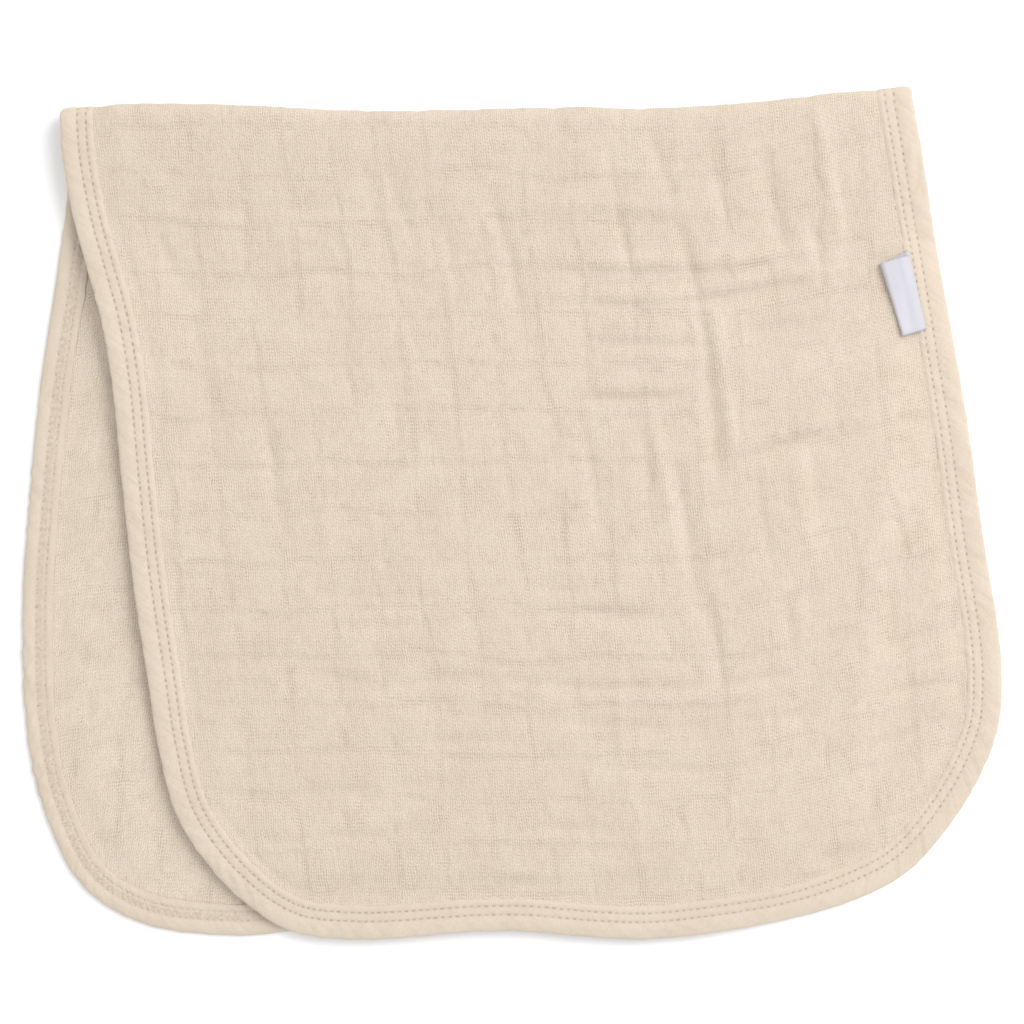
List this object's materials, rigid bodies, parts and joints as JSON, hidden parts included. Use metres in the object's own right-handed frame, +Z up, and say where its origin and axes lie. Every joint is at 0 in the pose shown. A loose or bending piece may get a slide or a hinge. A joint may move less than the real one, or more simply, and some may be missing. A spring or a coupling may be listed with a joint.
{
  "type": "folded burp cloth",
  "caption": "Long muslin burp cloth with rounded corners and a bias-bound edge, folded once across its middle, slightly askew, and laid flat.",
  "frame": {"origin": "on the surface it lies on, at the middle of the folded cloth's bounding box", "axes": "+X to the right along the fold, +Y towards the fold, +Z up"},
  "size_m": [0.2984, 0.2593, 0.0086],
  "materials": {
    "muslin": "open cream cotton gauze in several layers, softly crinkled, matt",
    "binding": "bias-cut cream cotton, rippled at the rim, with two rows of matching stitches",
    "label": "smooth white woven tape"
  },
  "bodies": {
    "root": {"muslin_cloth": "muslin", "edge_binding": "binding", "side_label": "label"}
  },
  "joints": []
}
